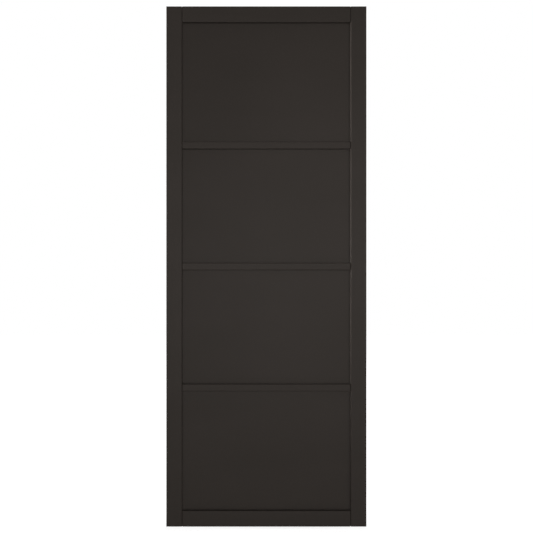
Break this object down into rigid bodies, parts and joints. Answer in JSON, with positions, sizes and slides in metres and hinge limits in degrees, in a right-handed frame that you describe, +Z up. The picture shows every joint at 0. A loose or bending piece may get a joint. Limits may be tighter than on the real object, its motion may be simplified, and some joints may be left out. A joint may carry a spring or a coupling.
{
  "type": "interior door leaf",
  "caption": "Industrial style interior door leaf: flat recessed panels between slim horizontal bars, in a plain stile-and-rail frame with a matt black factory finish.",
  "frame": {"origin": "middle of the leaf's bottom edge, on the floor line, at mid-thickness", "axes": "+X across the leaf from the left to the right stile as the front is seen, +Y from the front to the back through the thickness, +Z up"},
  "size_m": [0.762, 0.035, 1.981],
  "materials": {
    "black_primer": "matte",
    "beech": "matte"
  },
  "bodies": {
    "root": {"left_stile": "black_primer", "right_stile": "black_primer", "top_rail": "black_primer", "bottom_rail": "black_primer", "upper_bar": "black_primer", "middle_bar": "black_primer", "lower_bar": "black_primer", "top_panel": "black_primer", "upper_panel": "black_primer", "lower_panel": "black_primer", "bottom_panel": "black_primer", "top_rail_dowels": "beech", "bottom_rail_dowels": "beech", "upper_bar_dowels": "beech", "middle_bar_dowels": "beech", "lower_bar_dowels": "beech"}
  },
  "joints": []
}
